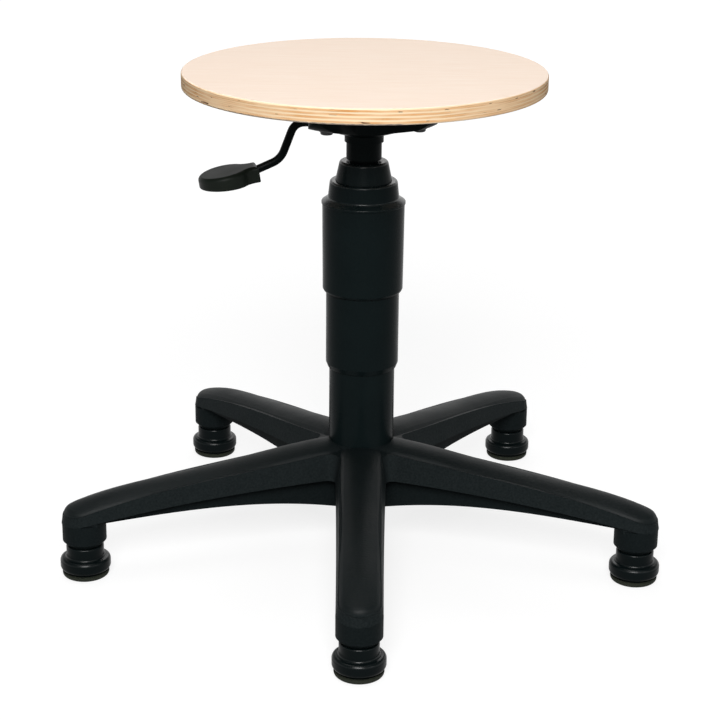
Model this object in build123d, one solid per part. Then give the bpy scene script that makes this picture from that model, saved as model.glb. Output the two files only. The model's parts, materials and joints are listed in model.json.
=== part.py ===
"""Height-adjustable swivel stool: plywood seat, gas-spring column, moulded star base on glides.

Millimetres, +Z up. The origin is on the column's axis at floor level, and the front arm points to -Y.
The seat stands at the top of its stroke.
Heights add up from the floor: glides, base, sleeves, carrier, seat.
"""

import os
from math import asin, cos, degrees, hypot, radians, sin, tan

from build123d import *

# General clearances
snug = 0.03          # pressed or glued pieces, per side
running = 0.05       # turning and sliding fits, per side
slack = 0.3          # loose neighbours that move past each other

# Glides
glide_h = 32.8
glide_gap = 1.0
glide_flange_d = 49.6
glide_flange_h = 13.0
glide_under_round = 4.0
glide_neck_d = 37.0
glide_shoulder_share = 0.6    # share of the flange's step taken by its rounded shoulder
glide_fillet_share = 0.38     # share taken by the fillet into the neck
glide_neck_round = 1.5
pad_h = 5.0
pad_d = 46.0
pad_round = 3.5
pad_groove_h = 2.0
pad_groove_w = 2.5
stem_d = 11.0
stem_top = 24.0      # how far the stem stands above the glide
stem_root = 19.0     # how deep the stem sits in the glide
stem_chamfer = 1.0
ring_h = 3.0
ring_depth = 0.9
ring_drop = 8.0      # from the stem's top to the foot of the grip ring
ring_gap_deg = 40.0

# Star base: plan
arm_count = 5
arm_spread = 1.2     # how far each arm's height surfaces reach past its share
front_arm_deg = -90.0
glide_circle_r = 286.5
arm_root_r = 26.6    # half the width over the skirt's lower edge, at the hub
arm_tip_r = 22.0
armpit_r = 4.0       # at the height of the arm ends' skirt
skirt_draft_deg = 8.5
crease_ledge = 1.2

# Star base: heights above the arm ends' seats, at four even stations from hub to tip
crest_heights = (81.1, 69.4, 57.4, 36.2)
edge_heights = (47.0, 43.2, 35.4, 22.6)
keel_heights = (12.0, 25.3, 26.1, 21.4)
hub_foot = 12.5
crease_depth = 5.5
cap_depth = 16.0
cap_round = 8.0
crown_r = 34.0       # arch across the arms' tops
crown_half_deg = 62.0

# Star base: walls and ribs
wall_t = 4.0
skin_t = 4.5
rib_t = 3.5
keel_offset = 12.0
cross_ribs = 4
cross_rib_recess = 5.0
hub_d = 66.0
boss_d = 43.2
boss_lap = 2.0       # how far the boss runs into the skirt
boss_foot_d = 34.0
boss_chamfer_h = 4.5

# Column: stroke and cover sleeves
stroke = 120.0
sleeve_wall = 1.9
sleeve_overlap = 16.0
lower_sleeve_d = 65.6
middle_sleeve_d = 72.5
upper_sleeve_d = 79.4
upper_sleeve_top_d = 80.8
upper_rim_d = 82.4
lower_margin = 18.0
upper_margin = 20.0
sleeve_seat_depth = 1.0
lip_h = 4.0
foot_chamfer = 2.0
middle_foot_chamfer_h = 5.0
lower_flange_t = 3.0

# Upper sleeve: stepped neck
shoulder_margin = 10.0
shoulder_t = 4.0
shoulder_rise = 4.0
step_d = 66.0
step_foot_d = 69.8
step_h = 17.0
neck_d = 51.2
neck_h = 19.5
neck_grip_h = 14.0
neck_wall = 3.0
neck_slope = 2.1
step_round = 2.5
neck_round = 3.0
rim_h = 2.2
rim_round = 0.8

# Gas spring
stand_tube_d = 50.0
stand_tube_wall = 2.0
stand_taper = 0.75
stand_lift = 2.0
floor_plate_t = 3.0
tail_d = 8.0
washer_t = 1.5
washer_d = 24.0
ball_d = 5.0
ball_count = 8
ball_circle_d = 17.0
cage_t = 2.4
cage_w = 6.0
bump_stop_h = 10.0
bump_stop_d = 20.0
bottom_play = 2.5
piston_rod_d = 10.0
piston_h = 10.0
piston_play = 6.0
pressure_tube_d = 28.0
pressure_tube_wall = 1.75
pressure_tube_taper = 0.35
rod_guide_h = 16.0
valve_h = 44.0
valve_recess = 1.0
release_pin_d = 5.0
release_pin_h = 38.0
bush_h = 70.0
bush_flange_t = 2.0
bush_play = 6.0
tail_overhang = 1.0
tail_play = 0.4
clip_t = 1.2
clip_d = 15.0
clip_groove = 0.6
clip_gap_deg = 70.0

# Seat carrier, built with the lever's gateway towards +X
neck_gap = 2.0
socket_d = 34.4
socket_h = 28.0
collar_d = 38.0
collar_lift = 17.0
collar_h = 7.0
carrier_h = 71.0
carrier_wall = 3.5
dish_r = 41.0
carrier_arm_reach = 80.0
carrier_arm_w = 36.0
carrier_corner_r = 9.0
carrier_arms = 4
dish_mid_r = 47.0
dish_mid_rise = 9.2
dish_rim_rise = 16.9
dish_rim_round = 12.0
screw_circle_r = 63.0
screw_d = 6.0
screw_clearance = 0.3
screw_head_d = 12.0
screw_head_h = 3.0
screw_washer_d = 14.0
screw_washer_t = 1.2
screw_face = 39.0    # height of the screw seats above the socket's foot
screw_post_d = 17.0
insert_d = 10.0
insert_h = 11.5
insert_flange_d = 14.0
insert_flange_t = 1.0

# Seat panel
seat_d = 350.0
seat_t = 15.0
seat_edge_round = 1.5

# Release lever, in its own upright plane
lever_deg = 191.0
lever_d = 8.0
lever_lift = 37.0    # height of the lever's axis above the socket's foot
lever_pivot_r = 30.0
lever_tail = 5.0
lever_reach = 67.8
lever_drop = 35.0
lever_drop_deg = 68.6
lever_out_deg = 22.4
lever_out_reach = 36.5
lever_bend_r = 12.5
lever_elbow_r = 20.0
pivot_d = 5.0
pivot_sleeve_d = 10.0
pivot_sleeve_w = 14.0
ear_t = 3.0
ear_w = 13.0
ear_rise = 6.0
ear_play = 0.4
pin_overhang = 3.0
pin_clip_t = 1.0
pin_clip_d = 9.0
gateway_w = 12.0

# Lever handle
handle_start = 103.5
handle_drop = 46.6   # how far the handle's inner end lies below the lever's axis
handle_tilt_deg = 9.0
handle_l = 58.0
handle_socket_l = 17.0
handle_socket_w = 24.0
handle_blade_w = 50.0
handle_t = 15.6
handle_tip_t = 10.5
handle_round = 4.0
handle_throat_round = 12.0
handle_under_round = 1.5

# Heights that follow from the sizes above
boss_foot_z = glide_h + glide_gap
hub_foot_z = boss_foot_z + hub_foot
hub_top_z = boss_foot_z + crest_heights[0] - sleeve_seat_depth
middle_sleeve_z = hub_top_z + lower_margin + stroke / 2
upper_sleeve_z = middle_sleeve_z + upper_margin + stroke / 2
upper_body_h = sleeve_overlap + stroke / 2 + shoulder_margin + shoulder_t
rim_z = upper_sleeve_z + upper_body_h
step_foot_z = rim_z + shoulder_rise
step_top_z = step_foot_z + step_h
neck_top_z = step_top_z + neck_h
socket_z = neck_top_z + neck_gap
tube_top_z = socket_z + socket_h
seat_z = socket_z + carrier_h
lever_z = socket_z + lever_lift
stand_foot_z = hub_foot_z + stand_lift
bearing_z = stand_foot_z + floor_plate_t
bump_stop_z = bearing_z + 2 * washer_t + ball_d
tube_foot_z = bump_stop_z + bump_stop_h + bottom_play + stroke
piston_z = tube_foot_z + rod_guide_h + piston_play
step_ceiling_z = step_top_z - neck_wall
stand_top_z = step_ceiling_z - stroke - bush_flange_t - bush_play

# Skirt and cap of the star base: both meet at the crease
skirt_foot_z = boss_foot_z + edge_heights[-1]
skirt_slope = tan(radians(skirt_draft_deg))
skirt_root_r = arm_root_r + (edge_heights[0] - edge_heights[-1]) * skirt_slope
crease_rises = [crest - crease_depth - edge_heights[-1] for crest in crest_heights]
cap_root_r = skirt_root_r - crease_rises[0] * skirt_slope - crease_ledge
cap_tip_r = arm_tip_r - crease_rises[-1] * skirt_slope - crease_ledge
cap_armpit_r = armpit_r + skirt_root_r - cap_root_r

# Radii and angles that follow
tip_reach = glide_circle_r + arm_tip_r
arm_angles = [front_arm_deg + 360 / arm_count * i for i in range(arm_count)]
arm_share_deg = arm_spread * 360 / arm_count
stem_bore_r = stem_d / 2 + running
tube_bore_r = pressure_tube_d / 2 - pressure_tube_wall
stand_bore_r = stand_tube_d / 2 - stand_tube_wall
rod_fit_r = piston_rod_d / 2 + snug
aim = Rot(0, 0, lever_deg)
nodes = {}


def turned(*outline):
    """Solid turned about Z from a closed outline of (radius, height) points, some with a rounding."""
    face = make_face(Polyline(*[corner[:2] for corner in outline], close=True))
    for radius, height, rounding in [corner for corner in outline if len(corner) == 3]:
        face = fillet(face.vertices().sort_by_distance((radius, height, 0))[0], rounding)
    return revolve(Plane.XZ * face, Axis.Z)


def ring(outer_r, inner_r, low, high):
    """Plain ring or tube about Z."""
    return turned((inner_r, low), (outer_r, low), (outer_r, high), (inner_r, high))


def disc(radius, low, high):
    """Plain cylinder about Z."""
    return Pos(0, 0, low) * Cylinder(radius, high - low, align=(Align.CENTER, Align.CENTER, Align.MIN))


def block(x_size, y_size, low, high):
    """Box centred on the axis in plan, between two heights."""
    return Pos(0, 0, low) * Box(x_size, y_size, high - low, align=(Align.CENTER, Align.CENTER, Align.MIN))


def around(shape, count, radius=0.0, start_deg=0.0):
    """Copies of a shape set evenly round the axis."""
    turns = [start_deg + 360 / count * i for i in range(count)]
    return [Rot(0, 0, turn) * Pos(radius, 0, 0) * shape for turn in turns]


# Star base


def arm_plan(root_r, tip_r, corner_r):
    """One arm's share of the star's outline, and how far out its armpits lie."""
    half_deg = 180 / arm_count
    lean_deg = degrees(asin((root_r - tip_r) / glide_circle_r))
    square = Vector(1, 0, 0).rotate(Axis.Z, 90 - lean_deg)
    between = Vector(1, 0, 0).rotate(Axis.Z, half_deg)
    corner = between * ((root_r + corner_r) / sin(radians(half_deg + lean_deg)))
    pit = corner - between * corner_r
    pit_mid = corner - (between + square).normalized() * corner_r
    side_root = corner - square * corner_r
    side_tip = Vector(glide_circle_r, 0, 0) + square * tip_r
    half = [Line((0, 0), pit), ThreePointArc(pit, pit_mid, side_root), Line(side_root, side_tip)]
    nose = ThreePointArc(side_tip, (glide_circle_r + tip_r, 0), (side_tip.X, -side_tip.Y))
    return make_face(half + [mirror(line, Plane.XZ) for line in half] + [nose]), pit.length


def below(heights, drop=0.0):
    """One arm's share of everything below a height curve that runs from the hub to past the tip."""
    run = tip_reach + slack - hub_d / 2
    last = len(heights) - 1
    line = Spline(*[(hub_d / 2 + run * i / last, boss_foot_z + h - drop) for i, h in enumerate(heights)])
    core_r = arm_tip_r / 2
    rest = Polyline(line @ 1, ((line @ 1).X, 0), (core_r, 0), (core_r, (line @ 0).Y), line @ 0)
    face = Plane.XZ * make_face([line, *rest.edges()])
    return Rot(0, 0, -arm_share_deg / 2) * revolve(face, Axis.Z, arm_share_deg)


def crown(drop=0.0):
    """One arm's share of everything below its arched crest."""
    run = tip_reach + slack - hub_d / 2
    last = len(crest_heights) - 1
    crest = [(hub_d / 2 + run * i / last, boss_foot_z + h - drop) for i, h in enumerate(crest_heights)]
    half_w = crown_r * sin(radians(crown_half_deg))
    sag = crown_r * (1 - cos(radians(crown_half_deg)))
    sections = []
    for x, z in [(arm_tip_r / 2, crest[0][1]), *crest]:
        arch = ThreePointArc((-half_w, z - sag), (0, z), (half_w, z - sag))
        rest = Polyline(arch @ 1, (half_w, 0), (-half_w, 0), arch @ 0)
        sections.append(Plane((x, 0, 0), (0, 1, 0), (1, 0, 0)) * make_face([arch, *rest.edges()]))
    return loft(sections)


def cap_block(inset=0.0, drop=0.0):
    """One arm's share of the star inside the crease, up to its crest, and the edges round its top."""
    plan, pit_reach = arm_plan(cap_root_r - inset, cap_tip_r - inset, cap_armpit_r + inset)
    solid = extrude(plan, 2 * hub_top_z) & crown(drop)
    top = solid.faces().filter_by(lambda face: face.normal_at().Z > 0.5).sort_by(SortBy.AREA)[-1]
    return solid, top.edges().filter_by(lambda edge: hypot(edge.center().X, edge.center().Y) > pit_reach)


def skirt_block(inset, drop):
    """One arm's share of the star inside the skirt's drafted walls, up to a depth below the crest."""
    plan = arm_plan(skirt_root_r - inset, arm_tip_r - inset, armpit_r + inset)[0]
    prism = Pos(0, 0, skirt_foot_z) * extrude(plan, hub_top_z - skirt_foot_z)
    upright = prism.faces().filter_by(lambda face: abs(face.normal_at().Z) < 0.5)
    walls = upright.filter_by(lambda face: abs(face.normal_at().dot(face.center())) > slack)
    return draft(walls, Plane.XY.offset(skirt_foot_z), skirt_draft_deg) & below(crest_heights, drop)


def arm_sector():
    """One arm with its share of the hub: skirt, cap, hollow underside and ribs."""
    cap, rim = cap_block()
    cap = fillet(rim, cap_round) - below(crest_heights, cap_depth)
    shell = skirt_block(0, crease_depth) - below(edge_heights) + cap
    shell -= skirt_block(wall_t, crease_depth + skin_t)
    shell -= cap_block(cap_round - skin_t / 2, skin_t)[0]
    return shell + arm_ribs()


def arm_ribs():
    """Two keel ribs along the arm and cross ribs between its walls."""
    keel_l = glide_circle_r - hub_d / 2 + rib_t
    keel_mid = glide_circle_r - keel_l / 2
    keel = Pos(keel_mid, 0, 0) * block(keel_l, rib_t, 0, hub_top_z)
    keels = [Pos(0, side * keel_offset, 0) * keel for side in (-1, 1)]
    keels = (Part() + keels) & below(crest_heights, skin_t)
    spacing = (glide_circle_r - arm_tip_r - hub_d / 2) / (cross_ribs + 1)
    across = [Pos(hub_d / 2 + spacing * (i + 1), 0, 0) * block(rib_t, 2 * arm_root_r, 0, hub_top_z)
              for i in range(cross_ribs)]
    cross = (Part() + across) & skirt_block(wall_t / 2, crease_depth + skin_t / 2)
    return keels - below(keel_heights) + (cross - below(edge_heights, -cross_rib_recess))


def arm_end():
    """Boss that takes a glide's stem, and the arm's solid end above it."""
    at_tip = Pos(glide_circle_r, 0, 0)
    top_z = skirt_foot_z + boss_lap
    bevel_z = boss_foot_z + boss_chamfer_h
    drum = turned((0, boss_foot_z), (boss_foot_d / 2, boss_foot_z), (boss_d / 2, bevel_z),
                  (boss_d / 2, top_z), (0, top_z))
    plug = skirt_block(wall_t / 2, crease_depth + skin_t / 2)
    return at_tip * drum + (plug & at_tip * disc(arm_tip_r, skirt_foot_z, hub_top_z))


def star_base():
    """Moulded base: five arms, hub with a tapered bore, and sockets for the glides."""
    arm = arm_sector() + arm_end()
    arm -= Pos(glide_circle_r, 0, 0) * disc(stem_bore_r, boss_foot_z, boss_foot_z + stem_top)
    base = Part() + around(arm, arm_count, start_deg=front_arm_deg)
    base += disc(hub_d / 2, hub_foot_z, hub_top_z)
    base -= disc(lower_sleeve_d / 2 + slack, hub_top_z, hub_top_z + cap_depth)
    return base - turned((0, hub_foot_z), (cone_r(hub_foot_z) + snug, hub_foot_z),
                         (cone_r(hub_top_z) + snug, hub_top_z), (0, hub_top_z))


# Glides, each made on the axis


def glide_body():
    """Turned plastic glide: flange, neck and the stem's blind hole."""
    flange_r = glide_flange_d / 2
    neck_r = glide_neck_d / 2
    groove_r = pad_d / 2 - pad_groove_w
    flange_z = pad_h + pad_groove_h
    flange_top_z = flange_z + glide_flange_h
    shoulder_round = glide_shoulder_share * (flange_r - neck_r)
    neck_fillet = glide_fillet_share * (flange_r - neck_r)
    hole_r = stem_d / 2 + snug
    hole_z = glide_h - stem_root
    return turned((0, pad_h), (groove_r, pad_h), (groove_r, flange_z),
                  (flange_r, flange_z, glide_under_round), (flange_r, flange_top_z, shoulder_round),
                  (neck_r, flange_top_z, neck_fillet),
                  (neck_r, glide_h, glide_neck_round), (hole_r, glide_h), (hole_r, hole_z), (0, hole_z))


def glide_pad():
    """Soft pad under the glide."""
    return turned((0, 0), (pad_d / 2, 0, pad_round), (pad_d / 2, pad_h), (0, pad_h))


def glide_stem():
    """Steel stem with the grip ring's groove."""
    low = glide_h - stem_root
    high = boss_foot_z + stem_top - slack
    groove_z = high - ring_drop
    groove_r = stem_d / 2 - ring_depth
    stem = disc(stem_d / 2, low, high) - ring(stem_d, groove_r, groove_z, groove_z + ring_h)
    return chamfer(stem.faces().sort_by(Axis.Z)[-1].edges(), stem_chamfer)


def split_ring(outer_r, inner_r, low, high, gap_deg):
    """Open ring, with its gap towards -Y."""
    half_w = outer_r * sin(radians(gap_deg / 2))
    gap = Pos(0, -outer_r, 0) * block(2 * half_w, 2 * outer_r, low, high)
    return ring(outer_r, inner_r, low, high) - gap


def grip_ring():
    """Split ring in the stem's groove."""
    low = boss_foot_z + stem_top - slack - ring_drop + snug
    inner_r = stem_d / 2 - ring_depth + snug
    return split_ring(stem_d / 2, inner_r, low, low + ring_h - 2 * snug, ring_gap_deg)


# Cover sleeves


def lower_sleeve():
    """Smallest sleeve, standing in the hub's seat round the stand tube."""
    outer_r = lower_sleeve_d / 2
    top_z = middle_sleeve_z + sleeve_overlap
    lip_r = middle_sleeve_d / 2 - sleeve_wall - slack
    lip_z = top_z - lip_h
    inner_r = outer_r - sleeve_wall
    hole_r = stand_tube_d / 2 + snug
    floor_z = hub_top_z + lower_flange_t
    return turned((hole_r, hub_top_z), (outer_r, hub_top_z), (outer_r, lip_z), (lip_r, lip_z),
                  (lip_r, top_z), (inner_r, top_z), (inner_r, floor_z), (hole_r, floor_z))


def middle_sleeve():
    """Middle sleeve: bevelled foot with a lip inwards, and a lip outwards at its top."""
    outer_r = middle_sleeve_d / 2
    bore_r = outer_r - sleeve_wall
    foot_r = lower_sleeve_d / 2 + slack
    top_z = upper_sleeve_z + sleeve_overlap
    lip_r = upper_sleeve_d / 2 - sleeve_wall - slack
    lip_z = top_z - lip_h
    bevel_z = middle_sleeve_z + middle_foot_chamfer_h
    return turned((foot_r, middle_sleeve_z), (bore_r, middle_sleeve_z), (outer_r, bevel_z),
                  (outer_r, lip_z), (lip_r, lip_z), (lip_r, top_z), (bore_r, top_z),
                  (bore_r, bevel_z), (foot_r, bevel_z - sleeve_wall))


def upper_sleeve():
    """Largest sleeve: body with a rim, a flared step and a neck that grips the pressure tube."""
    bore_r = upper_sleeve_d / 2 - sleeve_wall
    foot_r = middle_sleeve_d / 2 + slack
    grip_r = pressure_tube_d / 2 + snug
    grip_z = neck_top_z - neck_grip_h
    rim_foot_z = rim_z - rim_h
    step_bore_r = step_d / 2 - neck_wall
    neck_bore_r = neck_d / 2 - neck_wall
    chamfer_r = upper_sleeve_d / 2 - foot_chamfer / 2
    return turned((foot_r, upper_sleeve_z), (chamfer_r, upper_sleeve_z),
                  (upper_sleeve_d / 2, upper_sleeve_z + foot_chamfer),
                  (upper_sleeve_top_d / 2, rim_foot_z),
                  (upper_rim_d / 2, rim_foot_z, rim_round), (upper_rim_d / 2, rim_z, rim_round),
                  (step_foot_d / 2, step_foot_z, step_round), (step_d / 2, step_top_z, step_round),
                  (neck_d / 2 + neck_slope, step_top_z),
                  (neck_d / 2 - neck_slope, neck_top_z, neck_round), (grip_r, neck_top_z),
                  (grip_r, grip_z), (neck_bore_r, grip_z), (neck_bore_r, step_ceiling_z),
                  (step_bore_r, step_ceiling_z), (step_bore_r, rim_z), (bore_r, rim_z - shoulder_t),
                  (bore_r, upper_sleeve_z + lip_h), (foot_r, upper_sleeve_z + lip_h))


# Gas spring


def cone_r(z):
    """Radius of the stand tube's taper inside the hub."""
    return stand_tube_d / 2 - stand_taper * (hub_top_z - z) / (hub_top_z - hub_foot_z)


def stand_tube():
    """Steel column tube with a floor plate, tapered where it sits in the hub."""
    outer_r = stand_tube_d / 2
    hole_r = tail_d / 2 + tail_play
    return turned((hole_r, stand_foot_z), (cone_r(stand_foot_z), stand_foot_z), (outer_r, hub_top_z),
                  (outer_r, stand_top_z), (stand_bore_r, stand_top_z), (stand_bore_r, bearing_z),
                  (hole_r, bearing_z))


def guide_bush():
    """Plastic bush in the stand tube's mouth, with a flange over its end."""
    outer_r = stand_bore_r - snug
    bore_r = pressure_tube_d / 2 + running
    top_z = stand_top_z + bush_flange_t
    return turned((bore_r, stand_top_z - bush_h), (outer_r, stand_top_z - bush_h), (outer_r, stand_top_z),
                  (stand_tube_d / 2, stand_top_z), (stand_tube_d / 2, top_z), (bore_r, top_z))


def piston_rod():
    """Rod with a thin tail through the bearing and the floor plate, grooved for the clip."""
    tail_r = tail_d / 2
    clip_z = stand_foot_z - slack - clip_t
    tail = disc(tail_r, clip_z - tail_overhang, bump_stop_z)
    tail -= ring(tail_d, tail_r - clip_groove, clip_z, clip_z + clip_t)
    return tail + disc(piston_rod_d / 2, bump_stop_z, piston_z + piston_h + tail_overhang)


def retaining_clip():
    """Open clip in the tail's groove."""
    high = stand_foot_z - slack - snug
    inner_r = tail_d / 2 - clip_groove + snug
    return split_ring(clip_d / 2, inner_r, high - clip_t + 2 * snug, high, clip_gap_deg)


def bearing_cage():
    """Flat cage with a pocket for each ball."""
    mid_r = ball_circle_d / 2
    low = bearing_z + washer_t + ball_d / 2 - cage_t / 2
    cage = ring(mid_r + cage_w / 2, mid_r - cage_w / 2, low, low + cage_t)
    pocket = disc(ball_d / 2, low, low + cage_t)
    return cage - around(pocket, ball_count, mid_r)


def bearing_balls():
    """Ball set of the thrust bearing."""
    ball = Pos(0, 0, bearing_z + washer_t + ball_d / 2) * Sphere(ball_d / 2 - running)
    return Part() + around(ball, ball_count, ball_circle_d / 2)


def pressure_tube():
    """Moving tube of the gas spring, tapered at the top for the carrier's socket."""
    outer_r = pressure_tube_d / 2
    return turned((tube_bore_r, tube_foot_z), (outer_r, tube_foot_z), (outer_r, socket_z),
                  (outer_r - pressure_tube_taper, tube_top_z), (tube_bore_r, tube_top_z))


def rod_guide():
    """Guide and seal block in the tube's lower end."""
    return ring(tube_bore_r - snug, piston_rod_d / 2 + running, tube_foot_z, tube_foot_z + rod_guide_h)


def valve_body():
    """Valve block in the tube's top, bored for the release pin."""
    top_z = tube_top_z - valve_recess
    return ring(tube_bore_r - snug, release_pin_d / 2 + running, top_z - valve_h, top_z)


def release_pin():
    """Round-ended pin just under the lever's tail."""
    top_z = lever_z - lever_d / 2 - slack
    pin_r = release_pin_d / 2
    foot_z = top_z - release_pin_h
    return turned((0, foot_z), (pin_r, foot_z), (pin_r, top_z, pin_r - slack), (0, top_z))


# Seat carrier


def socket_tube():
    """Steel tube with a tapered bore for the gas spring."""
    low_r = pressure_tube_d / 2 + snug
    return turned((low_r, socket_z), (socket_d / 2, socket_z), (socket_d / 2, tube_top_z),
                  (low_r - pressure_tube_taper, tube_top_z))


def carrier_form(inset=0.0):
    """Dished four-armed form, with its outline drawn in and its underside raised by the inset."""
    collar_z = socket_z + collar_lift
    dish_z = collar_z + collar_h + inset
    reach = carrier_arm_reach - inset
    tip_r = carrier_arm_w / 2 - inset
    collar_r = collar_d / 2 - inset
    dish = turned((0, collar_z + inset), (collar_r, collar_z + inset), (collar_r, dish_z),
                  (dish_mid_r, dish_z + dish_mid_rise),
                  (reach, dish_z + dish_rim_rise, dish_rim_round), (reach, seat_z), (0, seat_z))
    plan = Circle(dish_r - inset)
    for turn in (45, 135):
        plan += Rot(0, 0, turn) * SlotOverall(2 * reach, 2 * tip_r)
    near = plan.vertices().filter_by(lambda point: hypot(point.X, point.Y) < dish_r + slack)
    corners = near.filter_by(lambda point: abs(point.Y) > slack)
    plan = fillet(corners, carrier_corner_r + inset)
    return Pos(0, 0, collar_z) * extrude(plan, seat_z - collar_z) & dish


def seat_carrier():
    """Hollow casting under the seat: socket boss, screw posts, lever ears and the lever's gateway."""
    outer = carrier_form()
    carrier = outer - carrier_form(carrier_wall)
    collar_z = socket_z + collar_lift
    face_z = socket_z + screw_face
    posts = around(disc(screw_post_d / 2, collar_z, seat_z), carrier_arms, screw_circle_r, 45)
    ear_y = pivot_sleeve_w / 2 + ear_play + ear_t / 2
    ear = Pos(lever_pivot_r, 0, 0) * block(ear_w, ear_t, collar_z, lever_z + ear_rise)
    boss = disc(socket_d / 2 + carrier_wall, collar_z, tube_top_z)
    inner = [boss, *posts, Pos(0, ear_y, 0) * ear, Pos(0, -ear_y, 0) * ear]
    carrier += (Part() + inner) & outer
    carrier -= disc(socket_d / 2 + snug, collar_z, tube_top_z)
    screw_hole = disc(screw_d / 2 + screw_clearance, collar_z, seat_z)
    spot_face = disc(screw_washer_d / 2 + slack, collar_z, face_z)
    carrier -= around(screw_hole + spot_face, carrier_arms, screw_circle_r, 45)
    pin_hole = Rot(90, 0, 0) * Cylinder(pivot_d / 2 + snug, 4 * ear_y)
    carrier -= Pos(lever_pivot_r, 0, lever_z) * pin_hole
    gateway_z = lever_z - lever_d / 2 - slack
    gateway_l = 2 * (dish_r - lever_pivot_r)
    carrier -= Pos(dish_r, 0, 0) * block(gateway_l, gateway_w, gateway_z, seat_z)
    pocket_z = lever_z - pivot_sleeve_d / 2 - slack
    pocket = block(pivot_sleeve_d, pivot_sleeve_w + 2 * ear_play, pocket_z, seat_z)
    return carrier - Pos(lever_pivot_r, 0, 0) * pocket


def seat_screws():
    """Four screws up through the carrier into the seat's inserts."""
    face_z = socket_z + screw_face - screw_washer_t
    low = face_z - screw_head_h
    head_r = screw_head_d / 2
    head = turned((0, low), (head_r, low, screw_head_h / 2), (head_r, face_z), (0, face_z))
    key = Pos(0, 0, low) * extrude(RegularPolygon(screw_d / 3, 6), screw_head_h / 2)
    screw = head + disc(screw_d / 2, face_z, seat_z + insert_h - slack) - key
    return Part() + around(screw, carrier_arms, screw_circle_r, 45)


def seat_washers():
    """Washers between the screw heads and the carrier."""
    face_z = socket_z + screw_face
    washer = ring(screw_washer_d / 2, screw_d / 2 + screw_clearance, face_z - screw_washer_t, face_z)
    return Part() + around(washer, carrier_arms, screw_circle_r, 45)


def insert_form(grow):
    """Flanged insert, or its hole in the seat when grown by a clearance."""
    flange = disc(insert_flange_d / 2 + grow, seat_z, seat_z + insert_flange_t)
    return flange + disc(insert_d / 2 + grow, seat_z, seat_z + insert_h)


def seat_inserts():
    """Threaded inserts in the seat's underside."""
    insert = insert_form(0) - disc(screw_d / 2 + snug, seat_z, seat_z + insert_h)
    return Part() + around(insert, carrier_arms, screw_circle_r, 45)


def seat_panel():
    """Round plywood seat with eased edges and blind holes for the inserts."""
    panel = disc(seat_d / 2, seat_z, seat_z + seat_t)
    panel = fillet(panel.edges().filter_by(GeomType.CIRCLE), seat_edge_round)
    return panel - around(insert_form(snug), carrier_arms, screw_circle_r, 45)


# Release lever, made in the XZ plane and turned to its place


def lever_wire(radius):
    """Bent rod of the lever."""
    elbow_x = lever_reach + lever_drop / tan(radians(lever_drop_deg))
    elbow_z = lever_z - lever_drop
    end_z = elbow_z - lever_out_reach * tan(radians(lever_out_deg))
    end_x = elbow_x + lever_out_reach
    points = [(-lever_tail, lever_z), (lever_reach, lever_z), (elbow_x, elbow_z), (end_x, end_z)]
    path = Plane.XZ * FilletPolyline(*points, radius=[lever_bend_r, lever_elbow_r])
    return sweep(Plane(path @ 0, z_dir=path % 0) * Circle(radius), path)


def lever_rod():
    """Lever with its welded pivot sleeve."""
    sleeve = Pos(lever_pivot_r, 0, lever_z) * Rot(90, 0, 0) * Cylinder(pivot_sleeve_d / 2, pivot_sleeve_w)
    hole = Cylinder(pivot_d / 2 + running, 2 * pivot_sleeve_w)
    rod = lever_wire(lever_d / 2) + sleeve
    return rod - Pos(lever_pivot_r, 0, lever_z) * Rot(90, 0, 0) * hole


def lever_pin():
    """Pivot pin through the carrier's ears."""
    length = pivot_sleeve_w + 2 * (ear_play + ear_t + pin_overhang)
    return Pos(lever_pivot_r, 0, lever_z) * Rot(90, 0, 0) * Cylinder(pivot_d / 2, length)


def pin_clips():
    """Rings that keep the pivot pin in the ears."""
    offset_y = pivot_sleeve_w / 2 + ear_play + ear_t
    clip = split_ring(pin_clip_d / 2, pivot_d / 2 + snug, offset_y, offset_y + pin_clip_t, clip_gap_deg)
    sides = [Pos(lever_pivot_r, 0, lever_z) * Rot(turn, 0, 0) * clip for turn in (-90, 90)]
    return Part() + sides


def lever_handle():
    """Paddle handle: square socket that widens into a rounded blade, with a crowned top."""
    blade_r = handle_blade_w / 2
    blade_x = handle_l - blade_r
    half_t = handle_t / 2
    slim = (handle_t - handle_tip_t) / 2
    past = handle_l + handle_round
    plan = Pos(blade_x / 2, 0) * Rectangle(blade_x, handle_socket_w) + Pos(blade_x, 0) * Circle(blade_r)
    plan = fillet(plan.vertices().sort_by(Axis.X)[2:4], handle_throat_round)
    top = ThreePointArc((-handle_round, half_t), (handle_l / 2, half_t - slim / 4), (past, half_t - slim))
    under = Polyline(top @ 1, (past, slim - half_t), (handle_socket_l, -half_t),
                     (-handle_round, -half_t), top @ 0)
    side = extrude(Plane.XZ * make_face([top, *under.edges()]), handle_blade_w, both=True)
    body = side & Pos(0, 0, -handle_t) * extrude(plan, 2 * handle_t)
    body = fillet(body.faces().sort_by(Axis.Z)[-1].edges(), handle_round)
    lower = body.faces().filter_by(lambda face: face.normal_at().Z < -0.9).edges()
    body = fillet(lower, handle_under_round)
    place = Pos(handle_start, 0, lever_z - handle_drop) * Rot(0, handle_tilt_deg, 0)
    return place * body - lever_wire(lever_d / 2 + snug)


# Pieces on the column's axis

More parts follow.
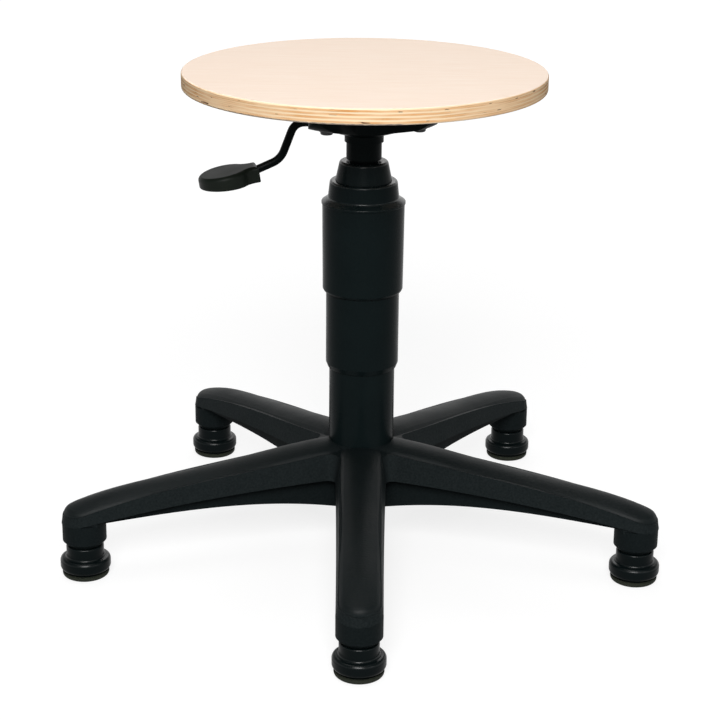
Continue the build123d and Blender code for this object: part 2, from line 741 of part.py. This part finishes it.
nodes["star_base"] = star_base()
nodes["lower_sleeve"] = lower_sleeve()
nodes["middle_sleeve"] = middle_sleeve()
nodes["upper_sleeve"] = upper_sleeve()
nodes["stand_tube"] = stand_tube()
nodes["guide_bush"] = guide_bush()
nodes["piston_rod"] = piston_rod()
nodes["retaining_clip"] = retaining_clip()
nodes["thrust_washer_lower"] = ring(washer_d / 2, tail_d / 2 + tail_play, bearing_z, bearing_z + washer_t)
nodes["bearing_cage"] = bearing_cage()
nodes["bearing_balls"] = bearing_balls()
nodes["thrust_washer_upper"] = ring(washer_d / 2, tail_d / 2 + snug, bump_stop_z - washer_t, bump_stop_z)
nodes["bump_stop"] = ring(bump_stop_d / 2, rod_fit_r, bump_stop_z, bump_stop_z + bump_stop_h)
nodes["piston"] = ring(tube_bore_r - running, rod_fit_r, piston_z, piston_z + piston_h)
nodes["pressure_tube"] = pressure_tube()
nodes["rod_guide"] = rod_guide()
nodes["valve_body"] = valve_body()
nodes["release_pin"] = release_pin()
nodes["socket_tube"] = socket_tube()

# Pieces that follow the lever's direction

nodes["seat_carrier"] = aim * seat_carrier()
nodes["seat_screws"] = aim * seat_screws()
nodes["seat_washers"] = aim * seat_washers()
nodes["seat_inserts"] = aim * seat_inserts()
nodes["seat_panel"] = aim * seat_panel()
nodes["lever_rod"] = aim * lever_rod()
nodes["lever_pin"] = aim * lever_pin()
nodes["pin_clips"] = aim * pin_clips()
nodes["lever_handle"] = aim * lever_handle()

# A glide in each arm's end

for number, turn in enumerate(arm_angles, 1):
    place = Rot(0, 0, turn) * Pos(glide_circle_r, 0, 0)
    nodes[f"glide_body_{number}"] = place * glide_body()
    nodes[f"glide_pad_{number}"] = place * glide_pad()
    nodes[f"glide_stem_{number}"] = place * glide_stem()
    nodes[f"grip_ring_{number}"] = place * grip_ring()

os.makedirs("parts", exist_ok=True)
for name, part in nodes.items():
    export_step(part, f"parts/{name}.step")
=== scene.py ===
"""Looks of the swivel stool: finishes, floor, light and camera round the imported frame. Metres, +Z up."""

import json
import math
from collections import namedtuple

import bpy
from mathutils import Matrix, Vector


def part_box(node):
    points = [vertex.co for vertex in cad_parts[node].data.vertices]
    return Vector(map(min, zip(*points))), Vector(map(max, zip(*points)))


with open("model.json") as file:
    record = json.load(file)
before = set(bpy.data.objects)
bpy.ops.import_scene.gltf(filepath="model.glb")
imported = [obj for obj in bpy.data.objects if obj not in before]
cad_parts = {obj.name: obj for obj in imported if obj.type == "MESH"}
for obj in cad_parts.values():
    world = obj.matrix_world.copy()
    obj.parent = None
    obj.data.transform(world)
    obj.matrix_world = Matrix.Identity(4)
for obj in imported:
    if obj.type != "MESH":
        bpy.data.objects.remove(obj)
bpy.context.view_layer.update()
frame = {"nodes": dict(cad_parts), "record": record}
scene = bpy.context.scene
nodes = frame["nodes"]

# Camera, fitted to the ellipses of the seat, the sleeves and the glides
CAMERA_TARGET = Vector((-0.00187, 0.0, 0.196547))
CAMERA_DISTANCE = 1.91035
CAMERA_ELEVATION = math.radians(19.6638)
CAMERA_ROLL = math.radians(0.579)
CAMERA_LENS = 94.965
SENSOR = 36.0

# Floor, backdrop and light
WHITE = (1.0, 1.0, 1.0, 1.0)
PAPER_GREY = (0.25, 0.25, 0.25, 1.0)
PAPER_ROUGHNESS = 0.9
PAPER_SHINE = 0.1
FLOOR_SIDE = 60.0
FLOOR_GAP = 0.0002              # between the floor and the glides
FLOOR_LIFT = (0.80, 0.98)       # towards white, near the stool and far from it
FLOOR_LIFT_SPAN = (0.4, 3.0)    # distances between which the lift grows
BACKDROP_RADIUS = 28.0
BACKDROP_HEIGHT = 12.0
BACKDROP_SIDES = 128
WORLD_LEVEL = 0.10
LAMP_AIM = Vector((0.0, 0.0, 0.25))

# Noises: stretch of their coordinates, scale, detail and roughness
Grain = namedtuple("Grain", "stretch scale detail roughness")
EVEN = (1.0, 1.0, 1.0)
NOISE_RANGE = (0.3, 0.7)        # where most values of a noise lie

# Veneer on the seat's faces
VENEER_STREAKS = Grain((3.0, 60.0, 3.0), 6.0, 5.0, 0.6)
VENEER_PORES = Grain((14.0, 420.0, 14.0), 5.0, 3.0, 0.5)
VENEER_CLOUD = Grain(EVEN, 9.0, 2.0, 0.5)
PORE_RANGE, PORE_SHARE = (0.55, 0.75), (0.0, 0.3)
CLOUD_RANGE, CLOUD_SHARE = (0.3, 0.8), (0.0, 0.4)
FACE_SLOPES = (0.5, 0.8)        # upright part of the normal, from the edge's plies to the veneer

# Plies on the seat's edge
SEAT_LOW, SEAT_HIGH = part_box("seat_panel")
PLY_COUNT = 9
PLY_WAVER = Grain((1.0, 1.0, 0.3), 14.0, 2.0, 0.5)
PLY_FIBRE = Grain((30.0, 30.0, 900.0), 4.0, 4.0, 0.6)
PLY_TONE = Grain((10.0, 10.0, 90.0), 3.0, 2.0, 0.5)
PLY_VOIDS = Grain((22.0, 22.0, 160.0), 2.4, 2.0, 0.5)
WAVER_HEIGHTS = (-0.0003, 0.0003)
END_SHARE = (0.45, 1.0)
GLUE_START = 0.42               # from the middle of a ply, in plies
GLUE_RANGE, GLUE_SHARE = (0.4, 0.65), (0.0, 0.7)
VOID_RANGE = (0.66, 0.68)

# Surface of the plywood: bumps are strength and depth
PLYWOOD_ROUGHNESS = (0.58, 0.70)
PLYWOOD_SHINE = 0.1
PORE_BUMP = (0.08, 0.0004)
FIBRE_BUMP = (0.05, 0.0003)

# Mouldings: slope is the upright part of the normal
MOULD_CLOUD = Grain(EVEN, 28.0, 3.0, 0.5)
MOULD_DETAIL = 2.0
MOULD_GRAIN_ROUGHNESS = 0.5
MOULD_GRAIN_DEPTH = 0.0002
MOULD_ROUGHNESS_RANGE = (0.25, 0.75)
MOULD_SMOOTHER, MOULD_ROUGHER = 0.05, 0.06
PAINTED_SHEEN_SLOPES = (0.2, 0.6)       # from the walls' shine to the tops' painted sheen
# Drafted flanks of the mouldings take a lighter speckled colour by slope: the speckle is grain, the
# lightness is painted light
FLANK_LOW_SLOPES, FLANK_LOW_SHARE = (-0.05, 0.13), (0.3, 1.0)
FLANK_HIGH_SLOPES, FLANK_HIGH_SHARE = (0.22, 0.45), (1.0, 0.0)
FLANK_SPECKLE = (0.5, 1.0)

# Bare metal
METAL_MARKS = Grain((1.0, 1.0, 30.0), 40.0, 4.0, 0.6)
METAL_SPREAD = 0.06
METAL_BUMP = (0.06, 0.0001)

# Colour sockets of the Mix node, which share their names with its number sockets
MIX_A, MIX_B, MIX_RESULT = 6, 7, 2


class Tree:
    """Short way to write a material's nodes."""

    def __init__(self, name):
        self.material = bpy.data.materials.new(name)
        self.material.use_nodes = True
        self.tree = self.material.node_tree
        self.shader = self.tree.nodes["Principled BSDF"]

    def add(self, kind, **settings):
        node = self.tree.nodes.new(kind)
        for key, value in settings.items():
            setattr(node, key, value)
        return node

    def join(self, value, socket):
        """Links an output, or sets a plain value."""
        if isinstance(value, bpy.types.NodeSocket):
            self.tree.links.new(value, socket)
        else:
            socket.default_value = value

    def coordinates(self, kind):
        return self.add("ShaderNodeTexCoord").outputs[kind]

    def split(self, vector):
        node = self.add("ShaderNodeSeparateXYZ")
        self.join(vector, node.inputs["Vector"])
        return node.outputs

    def math(self, operation, a, b=0.0):
        node = self.add("ShaderNodeMath", operation=operation)
        self.join(a, node.inputs[0])
        self.join(b, node.inputs[1])
        return node.outputs["Value"]

    def noise(self, grain):
        """Noise in stretched object coordinates."""
        mapping = self.add("ShaderNodeMapping")
        self.join(self.coordinates("Object"), mapping.inputs["Vector"])
        self.join(grain.stretch, mapping.inputs["Scale"])
        node = self.add("ShaderNodeTexNoise")
        self.join(mapping.outputs["Vector"], node.inputs["Vector"])
        self.join(grain.scale, node.inputs["Scale"])
        self.join(grain.detail, node.inputs["Detail"])
        self.join(grain.roughness, node.inputs["Roughness"])
        return node.outputs["Fac"]

    def span(self, value, old, new=(0.0, 1.0)):
        """Carries a value from the old range to the new one, and no further."""
        node = self.add("ShaderNodeMapRange")
        self.join(value, node.inputs["Value"])
        self.join(old[0], node.inputs["From Min"])
        self.join(old[1], node.inputs["From Max"])
        self.join(new[0], node.inputs["To Min"])
        self.join(new[1], node.inputs["To Max"])
        return node.outputs["Result"]

    def mix(self, share, a, b):
        node = self.add("ShaderNodeMix", data_type="RGBA")
        self.join(share, node.inputs["Factor"])
        self.join(a, node.inputs[MIX_A])
        self.join(b, node.inputs[MIX_B])
        return node.outputs[MIX_RESULT]

    def bump(self, height, strength, depth, under=None):
        node = self.add("ShaderNodeBump")
        self.join(strength, node.inputs["Strength"])
        self.join(depth, node.inputs["Distance"])
        self.join(height, node.inputs["Height"])
        if under is not None:
            self.join(under, node.inputs["Normal"])
        return node.outputs["Normal"]

    def set(self, **values):
        """Joins values to the shader's sockets, with low lines for the spaces in their names."""
        for name, value in values.items():
            self.join(value, self.shader.inputs[name.replace("_", " ")])


def colour(red, green, blue):
    """Linear colour from display values of 0 to 255."""
    def linear(value):
        share = value / 255
        return share / 12.92 if share <= 0.04045 else ((share + 0.055) / 1.055) ** 2.4
    return (linear(red), linear(green), linear(blue), 1.0)


def veneer_colour(t, pores):
    """Pale birch with a faint straight grain along X."""
    streaks = t.noise(VENEER_STREAKS)
    cloud = t.noise(VENEER_CLOUD)
    veneer = t.mix(t.span(streaks, NOISE_RANGE), colour(245, 224, 206), colour(250, 233, 218))
    veneer = t.mix(t.span(pores, PORE_RANGE, PORE_SHARE), veneer, colour(238, 211, 187))
    return t.mix(t.span(cloud, CLOUD_RANGE, CLOUD_SHARE), veneer, colour(249, 227, 209))


def ply_colour(t, normal, fibre):
    """Plies by height, wavering a little round the edge: odd ones run along X, even ones along Y."""
    waver = t.span(t.noise(PLY_WAVER), NOISE_RANGE, WAVER_HEIGHTS)
    height = t.math("ADD", t.split(t.coordinates("Object"))["Z"], waver)
    layers = t.span(height, (SEAT_LOW.z, SEAT_HIGH.z), (0.0, float(PLY_COUNT)))
    crossed = t.math("MODULO", t.math("FLOOR", layers), 2.0)

    # A ply shows its end grain where the edge cuts across its fibres
    along_x = t.math("POWER", normal["X"], 2.0)
    end_cut = t.math("ABSOLUTE", t.math("SUBTRACT", crossed, along_x))
    tone = t.noise(PLY_TONE)
    long_grain = t.mix(fibre, colour(253, 222, 178), colour(255, 236, 204))
    end_grain = t.mix(fibre, colour(218, 144, 78), colour(240, 178, 110))
    end_share = t.math("MULTIPLY", end_cut, t.span(tone, NOISE_RANGE, END_SHARE))
    edge = t.mix(end_share, long_grain, end_grain)

    # Glue lines between the plies, and dark voids in the crossed ones
    from_middle = t.math("ABSOLUTE", t.math("SUBTRACT", t.math("FRACT", layers), 0.5))
    glue = t.math("GREATER_THAN", from_middle, GLUE_START)
    glue_share = t.math("MULTIPLY", glue, t.span(tone, GLUE_RANGE, GLUE_SHARE))
    edge = t.mix(glue_share, edge, colour(172, 120, 72))
    void_share = t.math("MULTIPLY", t.span(t.noise(PLY_VOIDS), VOID_RANGE), crossed)
    return t.mix(void_share, edge, colour(92, 58, 34))


def plywood():
    """Birch plywood: veneer where it looks up or down, plies on the edge."""
    t = Tree("birch_plywood")
    normal = t.split(t.coordinates("Normal"))
    pores = t.noise(VENEER_PORES)
    fibre = t.noise(PLY_FIBRE)
    face_share = t.span(t.math("ABSOLUTE", normal["Z"]), FACE_SLOPES)
    t.set(Base_Color=t.mix(face_share, ply_colour(t, normal, fibre), veneer_colour(t, pores)))
    t.set(Roughness=t.span(pores, NOISE_RANGE, PLYWOOD_ROUGHNESS), Specular_IOR_Level=PLYWOOD_SHINE)
    t.set(Normal=t.bump(pores, *PORE_BUMP, under=t.bump(fibre, *FIBRE_BUMP)))
    return t.material


def moulding(name, dark, light, grain_scale, grain, roughness, wall_shine, top_shine, flank_speckle_and_light=None):
    """Moulded plastic: fine grain, a painted sheen that grows from the walls to the tops, and drafted
    flanks in a lighter speckled colour, which is grain and painted light.
    """
    t = Tree(name)
    cloud = t.noise(MOULD_CLOUD)
    fine = t.noise(Grain(EVEN, grain_scale, MOULD_DETAIL, MOULD_GRAIN_ROUGHNESS))
    slope = t.split(t.coordinates("Normal"))["Z"]
    base = t.mix(t.span(cloud, NOISE_RANGE), colour(*dark), colour(*light))
    # Lighter speckled colour on drafted flanks: the speckle is grain, the lightness is painted light
    if flank_speckle_and_light:
        low_share = t.span(slope, FLANK_LOW_SLOPES, FLANK_LOW_SHARE)
        drafted = t.math("MULTIPLY", low_share, t.span(slope, FLANK_HIGH_SLOPES, FLANK_HIGH_SHARE))
        speckle_and_light_share = t.math("MULTIPLY", drafted, t.span(fine, NOISE_RANGE, FLANK_SPECKLE))
        base = t.mix(speckle_and_light_share, base, colour(*flank_speckle_and_light))
    # Specular level grows with the slope, so tops shine more than walls: a painted sheen, not a change of
    # finish
    shine = top_shine
    if wall_shine != top_shine:
        shine = t.span(slope, PAINTED_SHEEN_SLOPES, (wall_shine, top_shine))
    rough_span = (roughness - MOULD_SMOOTHER, roughness + MOULD_ROUGHER)
    t.set(Base_Color=base, Specular_IOR_Level=shine)
    t.set(Roughness=t.span(cloud, MOULD_ROUGHNESS_RANGE, rough_span))
    t.set(Normal=t.bump(fine, grain, MOULD_GRAIN_DEPTH))
    return t.material


def metal(name, dark, light, roughness):
    """Bare metal with fine turning marks."""
    t = Tree(name)
    marks = t.noise(METAL_MARKS)
    t.set(Base_Color=t.mix(marks, colour(*dark), colour(*light)), Metallic=1.0)
    t.set(Roughness=t.span(marks, NOISE_RANGE, (roughness - METAL_SPREAD, roughness + METAL_SPREAD)))
    t.set(Normal=t.bump(marks, *METAL_BUMP))
    return t.material


# Finishes by slot. The turned glides share the base's slot, and have a smoother finish of their own
# Where top_shine is above wall_shine, the tops carry a painted sheen
FINISHES = {
    "plywood": plywood(),
    "black_moulding": moulding(
        "black_moulding", dark=(7, 14, 15), light=(11, 18, 19), grain_scale=520.0, grain=0.80,
        # The flank colour is painted light on the drafted walls, speckled by the grain
        roughness=0.54, wall_shine=0.03, top_shine=0.19, flank_speckle_and_light=(33, 38, 39),
    ),
    "turned_moulding": moulding(
        "turned_moulding", dark=(7, 14, 15), light=(10, 17, 18), grain_scale=1600.0, grain=0.08,
        roughness=0.29, wall_shine=0.05, top_shine=0.27,
    ),
    "black_sleeve": moulding(
        "black_sleeve", dark=(13, 21, 22), light=(16, 24, 25), grain_scale=1800.0, grain=0.06,
        roughness=0.27, wall_shine=0.03, top_shine=0.4,
    ),
    "black_enamel": moulding(
        "black_enamel", dark=(3, 9, 9), light=(5, 11, 11), grain_scale=900.0, grain=0.05,
        roughness=0.40, wall_shine=0.03, top_shine=0.15,
    ),
    "dark_handle": moulding(
        "dark_handle", dark=(15, 20, 16), light=(20, 25, 20), grain_scale=1500.0, grain=0.10,
        roughness=0.42, wall_shine=0.08, top_shine=0.08,
    ),
    "glide_pad": moulding(
        "glide_pad", dark=(40, 44, 37), light=(50, 53, 45), grain_scale=1300.0, grain=0.30,
        roughness=0.62, wall_shine=0.08, top_shine=0.08,
    ),
    "guide_nylon": moulding(
        "guide_nylon", dark=(206, 202, 190), light=(222, 218, 206), grain_scale=700.0, grain=0.05,
        roughness=0.45, wall_shine=0.4, top_shine=0.4,
    ),
    "stop_rubber": moulding(
        "stop_rubber", dark=(20, 20, 20), light=(30, 30, 29), grain_scale=900.0, grain=0.15,
        roughness=0.70, wall_shine=0.2, top_shine=0.25,
    ),
    "black_screw": moulding(
        "black_screw", dark=(22, 24, 25), light=(32, 34, 34), grain_scale=1200.0, grain=0.05,
        roughness=0.32, wall_shine=0.3, top_shine=0.5,
    ),
    "plain_steel": metal("plain_steel", dark=(170, 170, 172), light=(205, 205, 206), roughness=0.28),
    "insert_brass": metal("insert_brass", dark=(190, 150, 84), light=(222, 186, 116), roughness=0.26),
}

for part in frame["record"]["subparts"]:
    piece = nodes[part["node"]]
    turned = part["node"].startswith("glide_body")
    finish = "turned_moulding" if turned else part["material_slot"]
    piece.data.materials.clear()
    piece.data.materials.append(FINISHES[finish])


def paper(name, lift=None):
    """Pale paper, white to the camera and in reflections, or lifted by less near its middle."""
    t = Tree(name)
    t.set(Base_Color=PAPER_GREY, Roughness=PAPER_ROUGHNESS, Specular_IOR_Level=PAPER_SHINE)
    rays = t.add("ShaderNodeLightPath").outputs
    seen = t.math("MAXIMUM", rays["Is Camera Ray"], rays["Is Glossy Ray"])
    seen = t.math("MAXIMUM", seen, rays["Is Transmission Ray"])
    if lift:
        away = t.add("ShaderNodeVectorMath", operation="LENGTH")
        t.join(t.coordinates("Object"), away.inputs[0])
        seen = t.math("MULTIPLY", seen, t.span(away.outputs["Value"], FLOOR_LIFT_SPAN, lift))
    t.set(Emission_Color=WHITE, Emission_Strength=seen)
    return t.material


# Floor
bpy.ops.mesh.primitive_plane_add(size=FLOOR_SIDE, location=(0, 0, -FLOOR_GAP))
floor = bpy.context.object
floor.name = "floor"
floor.data.materials.append(paper("pale_floor", FLOOR_LIFT))

# Far round backdrop
bpy.ops.mesh.primitive_cylinder_add(
    vertices=BACKDROP_SIDES, radius=BACKDROP_RADIUS, depth=BACKDROP_HEIGHT,
    end_fill_type="NOTHING", location=(0, 0, BACKDROP_HEIGHT / 2),
)
backdrop = bpy.context.object
backdrop.name = "backdrop"
backdrop.data.materials.append(paper("pale_backdrop"))

# Dim surroundings
world = bpy.data.worlds.new("studio")
scene.world = world
world.use_nodes = True
background = world.node_tree.nodes["Background"]
background.inputs["Color"].default_value = WHITE
background.inputs["Strength"].default_value = WORLD_LEVEL


def softbox(name, location, side, power):
    """Square area lamp that looks at the stool."""
    data = bpy.data.lights.new(name, "AREA")
    data.shape = "SQUARE"
    data.size = side
    data.energy = power
    lamp = bpy.data.objects.new(name, data)
    scene.collection.objects.link(lamp)
    lamp.location = location
    lamp.rotation_euler = (LAMP_AIM - Vector(location)).to_track_quat("-Z", "Y").to_euler()


softbox("overhead", location=(-0.2, 0.2, 2.6), side=1.6, power=20.0)
softbox("front", location=(-0.1, -2.6, 2.1), side=1.3, power=92.0)
softbox("front_right", location=(2.2, -1.8, 1.6), side=0.8, power=6.0)
softbox("back", location=(0.2, 2.6, 1.9), side=1.3, power=10.0)

# Camera
view_dir = Vector((0.0, math.cos(CAMERA_ELEVATION), -math.sin(CAMERA_ELEVATION)))
level_up = Vector((0.0, math.sin(CAMERA_ELEVATION), math.cos(CAMERA_ELEVATION)))
level_right = Vector((1.0, 0.0, 0.0))
right = math.cos(CAMERA_ROLL) * level_right + math.sin(CAMERA_ROLL) * level_up
up = math.cos(CAMERA_ROLL) * level_up - math.sin(CAMERA_ROLL) * level_right
camera_data = bpy.data.cameras.new("camera")
camera_data.lens = CAMERA_LENS
camera_data.sensor_width = SENSOR
camera = bpy.data.objects.new("camera", camera_data)
scene.collection.objects.link(camera)
place = Matrix((right, up, -view_dir)).transposed().to_4x4()
place.translation = CAMERA_TARGET - CAMERA_DISTANCE * view_dir
camera.matrix_world = place
scene.camera = camera
scene.view_settings.view_transform = "Standard"
